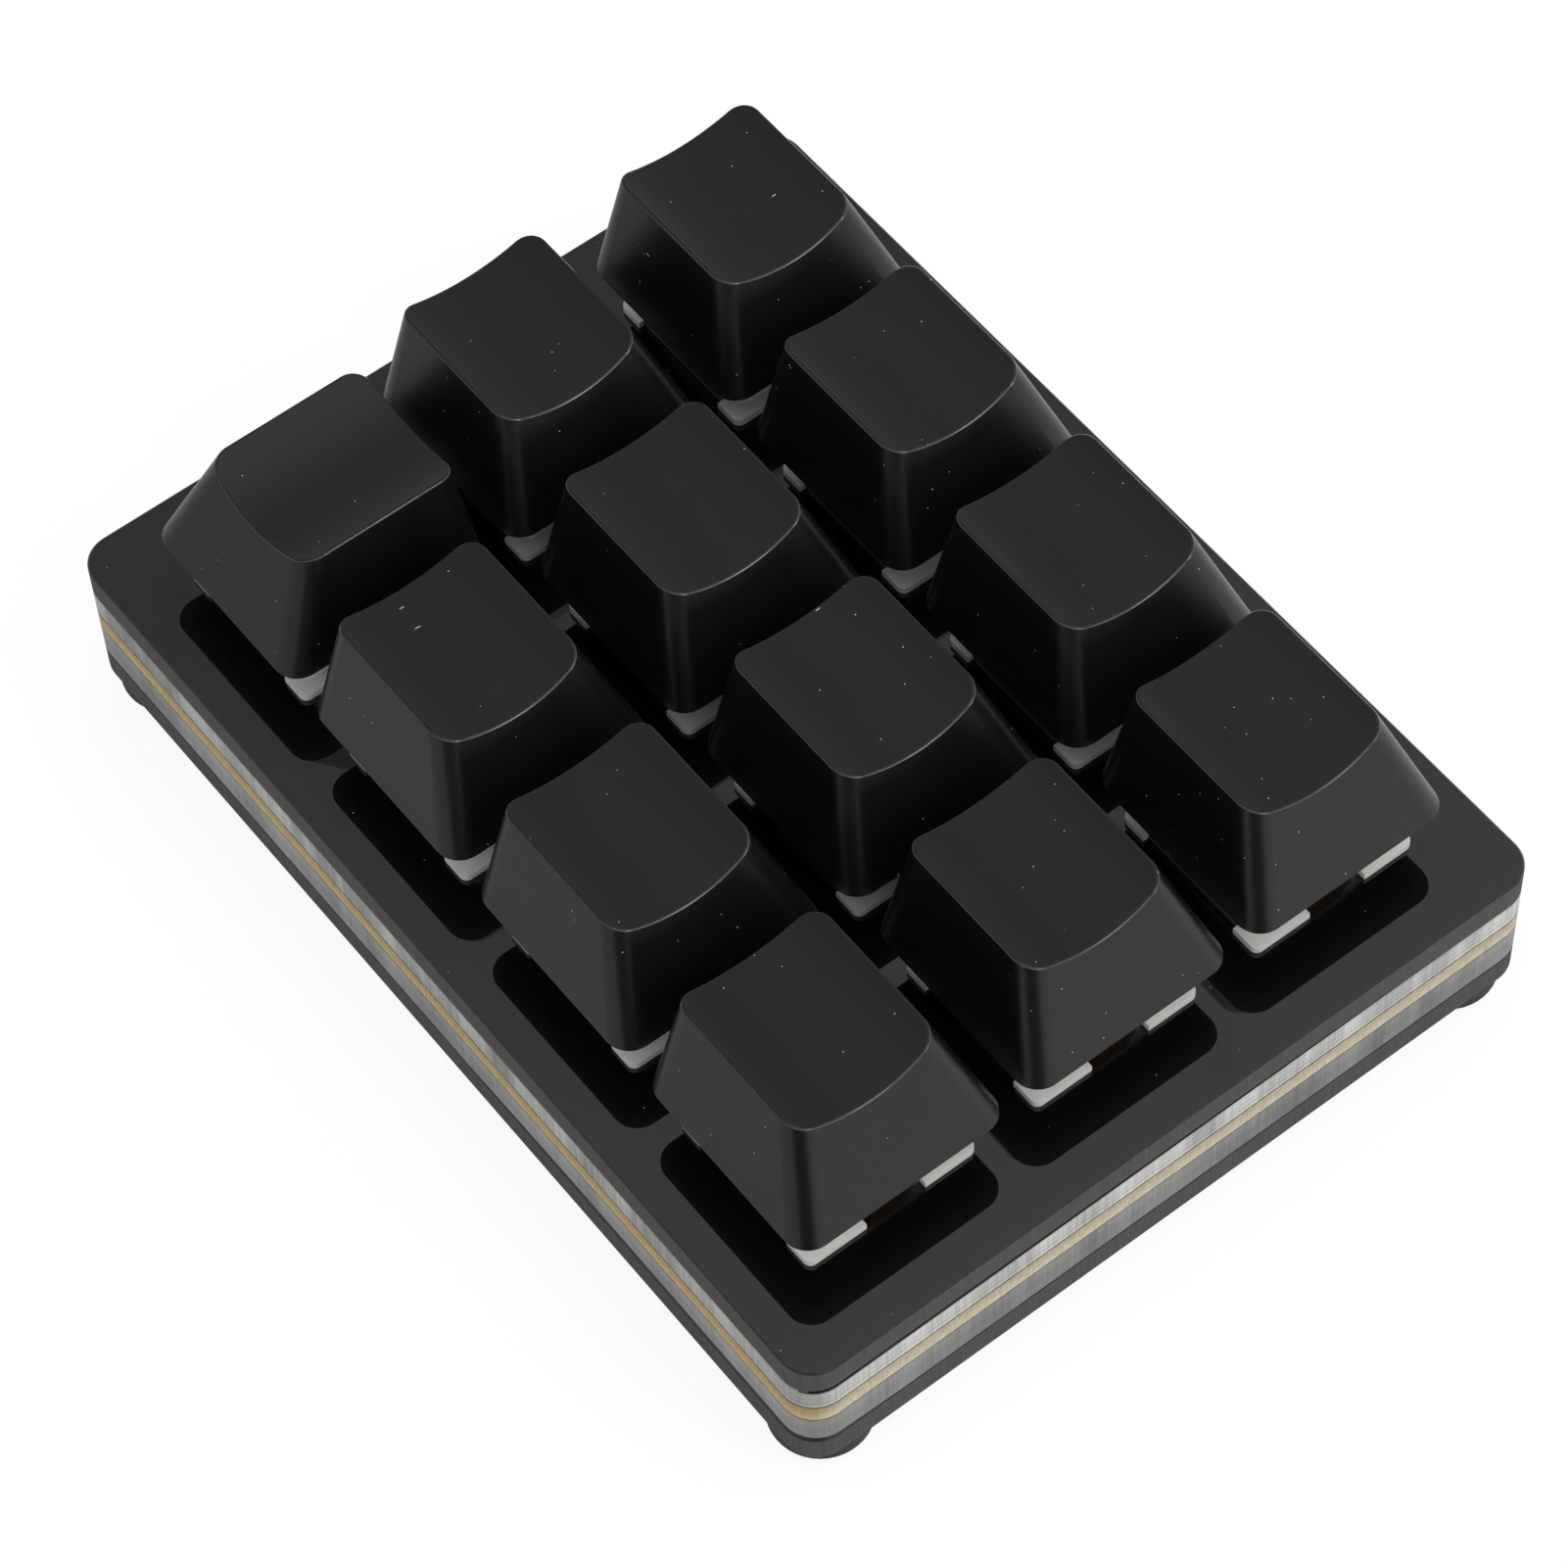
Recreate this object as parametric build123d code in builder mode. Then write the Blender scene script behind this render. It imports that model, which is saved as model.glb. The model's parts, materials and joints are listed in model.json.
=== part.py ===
from build123d import *

import math
import os

os.makedirs("parts", exist_ok=True)

# A layered keypad: twelve push keys on a circuit board, between acrylic plates, on rubber feet.
# The origin is on the desk under the middle of the case, +Y is to the back and +Z is up.

# Layout of the keys: row 1 is at the back and column 1 at the left
columns = 3
rows = 4
key_gap = 1.85
travel = 4.0
turned_key = (1, 1)
turned_angle = -90.0

# Layers of the case
foot_height = 2.0
bottom_plate_thickness = 2.5
lower_spacer_thickness = 3.1
board_thickness = 1.6
upper_spacer_thickness = 2.4
top_plate_thickness = 2.4
side_rail = 5.8
end_rail = 7.0
opening_clearance = 0.5
opening_radius = 1.5
corner_radius = 2.6
edge_break = 0.12

# Feet and case screws
foot_radius = 3.75
foot_round = 0.7
foot_edge_gap = 0.15
screw_radius = 1.0
screw_head_radius = 1.9
screw_head_height = 1.0
screw_socket_radius = 0.75
screw_socket_depth = 0.7
screw_clearance = 0.1
screws_per_side = 3
insert_wall = 0.6
insert_clearance = 0.1
thread_clearance = 0.02

# Switch housings
housing_body = 12.6
housing_wall = 1.0
housing_floor = 1.2
cutout_clearance = 0.1
flange_lip = 0.75
flange_height = 0.6
flange_radius = 0.6
window_width = 4.9
window_shift = 0.2
window_height = 4.2
window_drop = 2.5
clip_width = 9.4
clip_depth = 0.5
clip_height = 1.1
upper_housing_height = 5.8
upper_housing_step = 1.0
upper_housing_top = 9.2
upper_housing_wall = 0.9
upper_housing_roof = 0.9
upper_housing_radius = 0.8
centre_post_radius = 1.95
centre_post_end = 0.5
centre_hole_clearance = 0.05
collar_wall = 0.4
collar_height = 2.0

# Stem and spring
slider_width = 7.0
slider_depth = 5.6
slider_clearance = 0.2
slider_stand = 0.2
shoulder_lip = 0.8
shoulder_height = 0.8
stop_clearance = 0.1
cross_length = 4.0
cross_width = 1.2
cross_clearance = 0.05
cross_top_gap = 0.5
pole_radius = 1.0
pole_clearance = 0.1
pole_engagement = 1.4
pole_end_clearance = 0.3
spring_wire = 0.3
spring_clearance = 0.3
spring_turns = 8
spring_seat_clearance = 0.05

# Keycaps
cap_wall = 1.1
cap_side_clearance = 1.45
cap_roof = 1.15
cap_rim_clearance = 0.5
cap_ceiling_clearance = 0.3
cap_base_radius = 1.9
cap_top_width = 11.8
cap_top_depth = 12.8
cap_top_shift = 1.9
cap_top_radius = 1.6
cap_inner_radius = 0.8
cap_edge_round = 0.2
cap_post_radius = 2.75
cap_post_gap = 0.1
dish_depth = 1.2

# Contacts, with the places of their pins from the middle of a switch
pin_width = 1.0
pin_thickness = 0.3
pin_length = 1.5
pin_slot_clearance = 0.1
board_pin_hole_radius = 0.75
fixed_pin_x = -2.54
fixed_leaf_wall_gap = 0.2
fixed_leaf_right = 1.7
fixed_leaf_left = -0.6
fixed_leaf_top_gap = 0.4
moving_pin = (3.81, -2.54)
moving_leaf_gap = 0.5
moving_leaf_left = -1.5
moving_leaf_rise = 4.8
leaf_thickness = 0.2

# Electronics under the board
inlet_width = 7.5
inlet_height = 2.6
inlet_depth = 5.6
inlet_wall = 0.3
inlet_recess = 0.3
inlet_slot_clearance = 0.6
inlet_mouth_chamfer = 0.7
tongue_width = 3.7
tongue_height = 0.65
tongue_length = 4.0
chip_side = 7.0
chip_height = 1.0
chip_standoff = 0.1
chip_centre = (9.5, -1.5)
lead_count = 8
lead_pitch = 0.8
lead_width = 0.35
lead_reach = 1.0
lead_thickness = 0.2
crystal_length = 3.2
crystal_width = 2.5
crystal_height = 0.8
crystal_centre = (-9.5, -1.5)
diode_length = 2.7
diode_width = 1.6
diode_height = 1.1
diode_edge_gap = 1.0

# Plan sizes that follow from the switches, from inside out
cutout = housing_body + 2 * cutout_clearance
cavity = housing_body - 2 * housing_wall
flange = housing_body + 2 * flange_lip
upper_housing_base = flange - 2 * upper_housing_step
cap_base = upper_housing_base + 2 * (cap_side_clearance + cap_wall)
pitch = cap_base + key_gap
opening_width = (columns - 1) * pitch + housing_body + 2 * opening_clearance
opening_depth = (rows - 1) * pitch + housing_body + 2 * opening_clearance
case_width = opening_width + 2 * side_rail
case_depth = opening_depth + 2 * end_rail
insert_radius = screw_radius + thread_clearance + insert_wall
screw_x = (opening_width + side_rail) / 2
screw_hole_radius = screw_radius + screw_clearance
foot_x = case_width / 2 - foot_radius - foot_edge_gap
foot_y = case_depth / 2 - foot_radius - foot_edge_gap
slider_hole_width = slider_width + 2 * slider_clearance
slider_hole_depth = slider_depth + 2 * slider_clearance
pole_hole_radius = pole_radius + pole_clearance
collar_radius = pole_hole_radius + collar_wall
spring_radius = collar_radius + spring_clearance + spring_wire / 2
fixed_pin = (fixed_pin_x, fixed_leaf_wall_gap + pin_thickness / 2 - cavity / 2)
moving_leaf_front = fixed_pin[1] + pin_thickness / 2 + moving_leaf_gap
diode_y = housing_body / 2 + opening_clearance - diode_edge_gap - diode_width / 2

# Heights, from the desk up
bottom_plate_z = foot_height
lower_spacer_z = bottom_plate_z + bottom_plate_thickness
board_z = lower_spacer_z + lower_spacer_thickness
upper_spacer_z = board_z + board_thickness
top_plate_z = upper_spacer_z + upper_spacer_thickness
deck_z = top_plate_z + top_plate_thickness
floor_z = upper_spacer_z + housing_floor
collar_z = floor_z + collar_height
flange_top_z = deck_z + flange_height
housing_top_z = flange_top_z + upper_housing_height
housing_ceiling_z = housing_top_z - upper_housing_roof
pole_end_z = collar_z - pole_engagement
pole_hole_z = pole_end_z - travel - pole_end_clearance
centre_post_z = pole_hole_z - centre_post_end
shoulder_top_z = housing_ceiling_z - stop_clearance
shoulder_z = shoulder_top_z - shoulder_height
slider_top_z = housing_top_z + slider_stand
cap_rim_z = flange_top_z + travel + cap_rim_clearance
cap_ceiling_z = housing_top_z + travel + cap_ceiling_clearance
cap_height = cap_ceiling_z + cap_roof + dish_depth - cap_rim_z
cross_top_z = cap_ceiling_z - cross_top_gap
inlet_z = board_z - inlet_height
inlet_y = case_depth / 2 - inlet_recess


def key_places(row):
    """Centres of the keys of one row, from left to right."""
    y = ((rows + 1) / 2 - row) * pitch
    return [((column - (columns - 1) / 2) * pitch, y) for column in range(columns)]


def all_key_places():
    """Centres of all the keys."""
    return [place for row in range(1, rows + 1) for place in key_places(row)]


def screw_places():
    """Centres of the case screws, along the two side rails."""
    spread = (rows - 1) * pitch / (screws_per_side - 1)
    return [
        (side * screw_x, (step - (screws_per_side - 1) / 2) * spread)
        for side in (-1, 1)
        for step in range(screws_per_side)
    ]


def write(piece, name):
    """Name a finished piece and write it to its own file."""
    piece.part.label = name
    export_step(piece.part, f"parts/{name}.step")


def write_copies(piece, name, places):
    """Write one node that holds a copy of a piece at each place."""
    with BuildPart() as group:
        with Locations(*places):
            add(piece.part)
    write(group, name)


# Bottom plate, with a countersink for each case screw
with BuildPart() as bottom_plate:
    with BuildSketch(Plane.XY.offset(bottom_plate_z)):
        RectangleRounded(case_width, case_depth, corner_radius)
    extrude(amount=bottom_plate_thickness)
    chamfer(bottom_plate.edges() - bottom_plate.edges().filter_by(Axis.Z), edge_break)
    with BuildSketch(Plane.XY.offset(bottom_plate_z)):
        with Locations(*screw_places()):
            Circle(screw_hole_radius)
    extrude(amount=bottom_plate_thickness, mode=Mode.SUBTRACT)
    with Locations(*[(x, y, bottom_plate_z + screw_head_height / 2) for x, y in screw_places()]):
        Cone(
            screw_head_radius + screw_clearance,
            screw_radius + screw_clearance,
            screw_head_height,
            mode=Mode.SUBTRACT,
        )
write(bottom_plate, "bottom_plate")

# Lower spacer, a frame that is open at the back for the cable inlet
with BuildPart() as lower_spacer:
    with BuildSketch(Plane.XY.offset(lower_spacer_z)):
        RectangleRounded(case_width, case_depth, corner_radius)
    extrude(amount=lower_spacer_thickness)
    chamfer(lower_spacer.edges() - lower_spacer.edges().filter_by(Axis.Z), edge_break)
    with BuildSketch(Plane.XY.offset(lower_spacer_z)):
        RectangleRounded(opening_width, opening_depth, opening_radius)
        with Locations((0, (opening_depth + end_rail) / 2)):
            Rectangle(inlet_width + 2 * inlet_slot_clearance, 2 * end_rail)
        with Locations(*screw_places()):
            Circle(screw_hole_radius)
    extrude(amount=lower_spacer_thickness, mode=Mode.SUBTRACT)
write(lower_spacer, "lower_spacer")

# Circuit board, with holes for the centre posts, the contact pins and the screws
with BuildPart() as circuit_board:
    with BuildSketch(Plane.XY.offset(board_z)):
        RectangleRounded(case_width, case_depth, corner_radius)
        with Locations(*screw_places()):
            Circle(screw_hole_radius, mode=Mode.SUBTRACT)
        with Locations(*all_key_places()):
            Circle(centre_post_radius + centre_hole_clearance, mode=Mode.SUBTRACT)
            with Locations(fixed_pin, moving_pin):
                Circle(board_pin_hole_radius, mode=Mode.SUBTRACT)
    extrude(amount=board_thickness)
write(circuit_board, "circuit_board")

# Upper spacer, a frame that holds the threaded inserts
with BuildPart() as upper_spacer:
    with BuildSketch(Plane.XY.offset(upper_spacer_z)):
        RectangleRounded(case_width, case_depth, corner_radius)
    extrude(amount=upper_spacer_thickness)
    chamfer(upper_spacer.edges() - upper_spacer.edges().filter_by(Axis.Z), edge_break)
    with BuildSketch(Plane.XY.offset(upper_spacer_z)):
        RectangleRounded(opening_width, opening_depth, opening_radius)
        with Locations(*screw_places()):
            Circle(insert_radius)
    extrude(amount=upper_spacer_thickness, mode=Mode.SUBTRACT)
write(upper_spacer, "upper_spacer")

# Top plate, with a square cut-out for each switch
with BuildPart() as top_plate:
    with BuildSketch(Plane.XY.offset(top_plate_z)):
        RectangleRounded(case_width, case_depth, corner_radius)
    extrude(amount=top_plate_thickness)
    chamfer(top_plate.edges() - top_plate.edges().filter_by(Axis.Z), edge_break)
    with BuildSketch(Plane.XY.offset(top_plate_z)):
        with GridLocations(pitch, pitch, columns, rows):
            Rectangle(cutout, cutout)
    extrude(amount=top_plate_thickness, mode=Mode.SUBTRACT)
write(top_plate, "top_plate")

# Rubber feet, with the edge that meets the desk rounded
with BuildPart() as foot:
    Cylinder(foot_radius, foot_height, align=(Align.CENTER, Align.CENTER, Align.MIN))
    fillet(foot.edges().group_by(Axis.Z)[0], foot_round)
write_copies(foot, "rubber_feet", [(x, y) for x in (-foot_x, foot_x) for y in (-foot_y, foot_y)])

# Threaded inserts, seated in the upper spacer between the board and the top plate
with BuildPart() as threaded_insert:
    with BuildSketch(Plane.XY.offset(upper_spacer_z)):
        Circle(insert_radius)
        Circle(screw_radius + thread_clearance, mode=Mode.SUBTRACT)
    extrude(amount=upper_spacer_thickness - insert_clearance)
write_copies(threaded_insert, "threaded_inserts", screw_places())

# Case screws, countersunk from below, with a hexagon socket
with BuildPart() as case_screw:
    with BuildSketch(Plane.XZ):
        with BuildLine():
            Polyline(
                (0, bottom_plate_z),
                (screw_head_radius, bottom_plate_z),
                (screw_radius, bottom_plate_z + screw_head_height),
                (screw_radius, top_plate_z - insert_clearance),
                (0, top_plate_z - insert_clearance),
                close=True,
            )
        make_face()
    revolve(axis=Axis.Z)
    with BuildSketch(Plane.XY.offset(bottom_plate_z)):
        RegularPolygon(screw_socket_radius, 6)
    extrude(amount=screw_socket_depth, mode=Mode.SUBTRACT)
write_copies(case_screw, "case_screws", screw_places())

# Lower switch housing: a tub with a notched flange on the deck and a centre post through the board
with BuildPart() as lower_housing:
    with BuildSketch(Plane.XY.offset(upper_spacer_z)):
        Rectangle(housing_body, housing_body)
    extrude(amount=deck_z - upper_spacer_z)
    with BuildSketch(Plane.XY.offset(deck_z)):
        RectangleRounded(flange, flange, flange_radius)
        with Locations((-flange / 2, 0), (flange / 2, 0)):
            Rectangle(2 * clip_depth, clip_width, mode=Mode.SUBTRACT)
    extrude(amount=flange_height)
    with BuildSketch(Plane.XY.offset(floor_z)):
        Rectangle(cavity, cavity)
    extrude(amount=flange_top_z - floor_z, mode=Mode.SUBTRACT)
    with BuildSketch(Plane.XY.offset(deck_z - window_drop)):
        with Locations((window_shift, -flange / 2)):
            Rectangle(window_width, flange - cavity)
    extrude(amount=window_drop + flange_height, mode=Mode.SUBTRACT)
    with BuildSketch(Plane.XY.offset(floor_z)):
        Circle(collar_radius)
    extrude(amount=collar_height)
    with BuildSketch(Plane.XY.offset(centre_post_z)):
        Circle(centre_post_radius)
    extrude(amount=floor_z - centre_post_z)
    with BuildSketch(Plane.XY.offset(pole_hole_z)):
        Circle(pole_hole_radius)
    extrude(amount=collar_z - pole_hole_z, mode=Mode.SUBTRACT)
    with BuildSketch(Plane.XY.offset(upper_spacer_z)):
        with Locations(fixed_pin, moving_pin):
            Rectangle(pin_width + 2 * pin_slot_clearance, pin_thickness + 2 * pin_slot_clearance)
    extrude(amount=housing_floor, mode=Mode.SUBTRACT)


def upper_section(z, inset):
    """Outline of the upper switch housing at a height, moved in by an inset."""
    share = (z - flange_top_z) / upper_housing_height
    side = upper_housing_base + (upper_housing_top - upper_housing_base) * share - 2 * inset
    with BuildSketch(Plane.XY.offset(z)) as section:
        RectangleRounded(side, side, upper_housing_radius)
    return section.sketch


# Upper switch housing: a tapered cover with a window to the contacts and a hole for the slider
with BuildPart() as upper_housing:
    loft([upper_section(flange_top_z, 0), upper_section(housing_top_z, 0)])
    inside = [upper_section(z, upper_housing_wall) for z in (flange_top_z, housing_ceiling_z)]
    loft(inside, mode=Mode.SUBTRACT)
    with BuildSketch(Plane.XY.offset(housing_ceiling_z)):
        Rectangle(slider_hole_width, slider_hole_depth)
    extrude(amount=upper_housing_roof, mode=Mode.SUBTRACT)
    with BuildSketch(Plane.XY.offset(flange_top_z)):
        with Locations((window_shift, -upper_housing_base / 2)):
            Rectangle(window_width, upper_housing_base / 2)
    extrude(amount=window_height, mode=Mode.SUBTRACT)
    with BuildSketch(Plane.XY.offset(flange_top_z)):
        with Locations((-upper_housing_base / 2, 0), (upper_housing_base / 2, 0)):
            Rectangle(2 * clip_depth, clip_width)
    extrude(amount=clip_height, mode=Mode.SUBTRACT)

for row in range(1, rows + 1):
    write_copies(lower_housing, f"lower_housings_row_{row}", key_places(row))
    write_copies(upper_housing, f"upper_housings_row_{row}", key_places(row))

# Fixed contact: a pin with a flat leaf that stands behind the window
with BuildPart() as fixed_contact:
    with BuildSketch(Plane.XY.offset(board_z - pin_length)):
        with Locations(fixed_pin):
            Rectangle(pin_width, pin_thickness)
    extrude(amount=floor_z - board_z + pin_length)
    leaf_left = fixed_pin[0] - pin_width / 2
    with BuildSketch(Plane.XY.offset(floor_z)):
        with Locations(((leaf_left + fixed_leaf_right) / 2, fixed_pin[1])):
            Rectangle(fixed_leaf_right - leaf_left, pin_thickness)
    extrude(amount=deck_z - floor_z)
    with BuildSketch(Plane.XY.offset(deck_z)):
        with Locations(((fixed_leaf_left + fixed_leaf_right) / 2, fixed_pin[1])):
            Rectangle(fixed_leaf_right - fixed_leaf_left, pin_thickness)
    extrude(amount=flange_height + window_height - fixed_leaf_top_gap)
write_copies(fixed_contact, "fixed_contacts", all_key_places())

# Moving contact: a pin, a foot along the floor and a thin springy leaf
with BuildPart() as moving_contact:
    leaf_right = moving_pin[0] + pin_width / 2
    foot_depth = moving_pin[1] + pin_thickness / 2 - moving_leaf_front
    with BuildSketch(Plane.XY.offset(board_z - pin_length)):
        with Locations(moving_pin):
            Rectangle(pin_width, pin_thickness)
    extrude(amount=floor_z - board_z + pin_length)
    with BuildSketch(Plane.XY.offset(floor_z)):
        with Locations((moving_pin[0], moving_leaf_front + foot_depth / 2)):
            Rectangle(pin_width, foot_depth)
    extrude(amount=pin_thickness)
    with BuildSketch(Plane.XY.offset(floor_z)):
        with Locations(((moving_leaf_left + leaf_right) / 2, moving_leaf_front + leaf_thickness / 2)):
            Rectangle(leaf_right - moving_leaf_left, leaf_thickness)
    extrude(amount=moving_leaf_rise)
write_copies(moving_contact, "moving_contacts", all_key_places())

# Stem: a cross on a slider, with a shoulder that stops under the cover and a pole that guides it
with BuildPart() as stem:
    with BuildSketch(Plane.XY.offset(shoulder_z)):
        Rectangle(slider_width, slider_depth + 2 * shoulder_lip)
    extrude(amount=shoulder_height)
    with BuildSketch(Plane.XY.offset(shoulder_top_z)):
        Rectangle(slider_width, slider_depth)
    extrude(amount=slider_top_z - shoulder_top_z)
    with BuildSketch(Plane.XY.offset(slider_top_z)):
        Rectangle(cross_length, cross_width)
        Rectangle(cross_width, cross_length)
    extrude(amount=cross_top_z - slider_top_z)
    with BuildSketch(Plane.XY.offset(pole_end_z)):
        Circle(pole_radius)
    extrude(amount=shoulder_z - pole_end_z)

# Return spring, one tube of round wire from the floor of the housing to the stem's shoulder
coil_z = floor_z + spring_seat_clearance + spring_wire / 2
coil_rise = (shoulder_z - spring_seat_clearance - spring_wire / 2 - coil_z) / spring_turns


def coil_point(turn):
    """Middle of the wire after a number of turns."""
    angle = 2 * math.pi * turn
    height = coil_z + coil_rise * turn
    return Vector(spring_radius * math.cos(angle), spring_radius * math.sin(angle), height)


def coil_direction(turn):
    """Way that the wire runs after a number of turns."""
    angle = 2 * math.pi * turn
    slope = coil_rise / (2 * math.pi * spring_radius)
    return Vector(-math.sin(angle), math.cos(angle), slope).normalized()


with BuildPart() as spring:
    with BuildLine():
        for half_turn in range(2 * spring_turns):
            start, end = coil_point(half_turn / 2), coil_point((half_turn + 1) / 2)
            leave, arrive = coil_direction(half_turn / 2), coil_direction((half_turn + 1) / 2)
            chord = end - start
            bend = 2 * (1 - leave.dot(arrive))
            along = chord.dot(leave + arrive)
            reach = (math.sqrt(along**2 + bend * chord.dot(chord)) - along) / bend
            first_knee = start + leave * reach
            second_knee = end - arrive * reach
            middle = (first_knee + second_knee) * 0.5
            TangentArc(start, middle, tangent=leave)
            TangentArc(middle, end, tangent=second_knee - first_knee)
    with BuildSketch(Plane(origin=coil_point(0), z_dir=coil_direction(0))):
        Circle(spring_wire / 2)
    sweep()

samples_per_turn = 24
wire_points = [coil_point(step / samples_per_turn) for step in range(spring_turns * samples_per_turn + 1)]
least_gap = min(
    (wire_points[i] - wire_points[j]).length - spring_wire
    for i in range(len(wire_points))
    for j in range(i + samples_per_turn // 2, len(wire_points))
)
print("least gap between turns of the spring", round(least_gap, 3))


def cap_section(height, inset):
    """Outline of a keycap at a height above its rim, moved in by an inset."""
    share = height / cap_height
    width = cap_base + (cap_top_width - cap_base) * share - 2 * inset
    depth = cap_base + (cap_top_depth - cap_base) * share - 2 * inset
    outer_radius = cap_base_radius + (cap_top_radius - cap_base_radius) * share
    with BuildSketch(Plane.XY.offset(height)) as section:
        with Locations((0, cap_top_shift * share)):
            RectangleRounded(width, depth, cap_inner_radius if inset else outer_radius)
    return section.sketch


# Keycap: a tapered hollow cap with a cylindrical dish and a socket for the stem's cross
dish_radius = ((cap_top_width / 2) ** 2 + dish_depth**2) / (2 * dish_depth)
cap_ceiling = cap_ceiling_z - cap_rim_z
post_end = slider_top_z + cap_post_gap - cap_rim_z
socket_end = cross_top_z + cross_clearance - cap_rim_z
with BuildPart() as keycap:
    loft([cap_section(0, 0), cap_section(cap_height + dish_depth, 0)])
    with Locations(Location((0, 0, cap_height - dish_depth + dish_radius), (90, 0, 0))):
        Cylinder(dish_radius, 2 * cap_base, mode=Mode.SUBTRACT)
    top_edges = keycap.faces().filter_by(GeomType.CYLINDER).sort_by(SortBy.AREA)[-1].edges()
    fillet(top_edges, cap_edge_round)
    loft([cap_section(0, cap_wall), cap_section(cap_ceiling, cap_wall)], mode=Mode.SUBTRACT)
    with BuildSketch(Plane.XY.offset(post_end)):
        Circle(cap_post_radius)
    extrude(amount=cap_ceiling - post_end)
    with BuildSketch(Plane.XY.offset(post_end)):
        Rectangle(cross_length + 2 * cross_clearance, cross_width + 2 * cross_clearance)
        Rectangle(cross_width + 2 * cross_clearance, cross_length + 2 * cross_clearance)
    extrude(amount=socket_end - post_end, mode=Mode.SUBTRACT)

for row in range(1, rows + 1):
    for column, (x, y) in enumerate(key_places(row), start=1):
        turn = turned_angle if (row, column) == turned_key else 0
        write_copies(keycap, f"keycap_r{row}c{column}", [Location((x, y, cap_rim_z), (0, 0, turn))])
        write_copies(stem, f"stem_r{row}c{column}", [(x, y)])
        write_copies(spring, f"spring_r{row}c{column}", [(x, y)])

# Cable inlet: a bent steel shell under the board, with its mouth at the back of the case
with BuildPart() as inlet_shell:
    with BuildSketch(Plane.XZ.offset(-inlet_y)):
        with Locations((0, inlet_z + inlet_height / 2)):
            Rectangle(inlet_width, inlet_height)
        chamfer(vertices().group_by(Axis.Y)[0], inlet_mouth_chamfer)
        offset(amount=-inlet_wall, kind=Kind.INTERSECTION, mode=Mode.SUBTRACT)
    extrude(amount=inlet_depth)
    with BuildSketch(Plane.XZ.offset(inlet_depth - inlet_y)):
        with Locations((0, inlet_z + inlet_height / 2)):
            Rectangle(inlet_width - 2 * inlet_mouth_chamfer, inlet_height)
    extrude(amount=-inlet_wall)
write(inlet_shell, "inlet_shell")

# Tongue of the inlet, standing out of the shell's back wall
with BuildPart() as inlet_tongue:
    with BuildSketch(Plane.XZ.offset(inlet_depth - inlet_wall - inlet_y)):
        with Locations((0, inlet_z + inlet_height / 2)):
            Rectangle(tongue_width, tongue_height)
    extrude(amount=-tongue_length)
write(inlet_tongue, "inlet_tongue")

# Microcontroller under the board, with a row of leads on each side
with BuildPart() as microcontroller:
    with Locations((*chip_centre, board_z - chip_standoff - chip_height / 2)):
        Box(chip_side, chip_side, chip_height)
    lead_run = chip_side / 2 + lead_reach / 2
    lead_height = chip_standoff + chip_height / 2
    with Locations((*chip_centre, board_z)):
        with PolarLocations(lead_run, 4):
            with GridLocations(0, lead_pitch, 1, lead_count):
                Box(lead_reach, lead_width, lead_thickness, align=(Align.CENTER, Align.CENTER, Align.MAX))
        with PolarLocations(chip_side / 2 + lead_thickness / 2, 4):
            with GridLocations(0, lead_pitch, 1, lead_count):
                Box(lead_thickness, lead_width, lead_height, align=(Align.CENTER, Align.CENTER, Align.MAX))
write(microcontroller, "microcontroller")

# Crystal and diodes under the board
with BuildPart() as crystal:
    with Locations((*crystal_centre, board_z)):
        Box(crystal_length, crystal_width, crystal_height, align=(Align.CENTER, Align.CENTER, Align.MAX))
write(crystal, "crystal")

with BuildPart() as diode:
    with Locations((0, diode_y, board_z)):
        Box(diode_length, diode_width, diode_height, align=(Align.CENTER, Align.CENTER, Align.MAX))
write_copies(diode, "diodes", all_key_places())
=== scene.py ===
import json
import math

import bpy
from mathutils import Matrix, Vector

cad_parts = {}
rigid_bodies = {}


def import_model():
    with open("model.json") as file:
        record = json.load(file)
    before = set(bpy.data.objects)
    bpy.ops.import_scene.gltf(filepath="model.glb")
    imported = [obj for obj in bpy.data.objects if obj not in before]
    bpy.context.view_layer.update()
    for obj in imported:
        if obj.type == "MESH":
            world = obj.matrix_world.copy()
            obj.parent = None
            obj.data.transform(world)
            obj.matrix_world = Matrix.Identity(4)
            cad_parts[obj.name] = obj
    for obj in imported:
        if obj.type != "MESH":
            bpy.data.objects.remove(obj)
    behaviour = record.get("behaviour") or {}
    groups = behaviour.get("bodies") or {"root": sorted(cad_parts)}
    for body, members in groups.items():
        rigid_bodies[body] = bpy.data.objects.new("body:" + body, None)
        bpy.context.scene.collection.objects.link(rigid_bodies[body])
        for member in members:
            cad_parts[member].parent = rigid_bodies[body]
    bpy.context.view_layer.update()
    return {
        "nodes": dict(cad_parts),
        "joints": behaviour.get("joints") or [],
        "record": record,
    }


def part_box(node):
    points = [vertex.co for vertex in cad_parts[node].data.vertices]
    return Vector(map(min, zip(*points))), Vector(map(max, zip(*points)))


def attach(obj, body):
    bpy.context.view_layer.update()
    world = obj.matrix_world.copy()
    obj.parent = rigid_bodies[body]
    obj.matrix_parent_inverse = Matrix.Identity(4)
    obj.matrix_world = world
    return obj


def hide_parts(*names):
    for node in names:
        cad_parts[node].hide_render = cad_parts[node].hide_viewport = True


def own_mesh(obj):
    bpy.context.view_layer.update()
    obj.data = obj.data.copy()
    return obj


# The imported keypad, in an empty scene
for thing in list(bpy.data.objects):
    bpy.data.objects.remove(thing)
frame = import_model()

MM = 0.001

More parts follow.
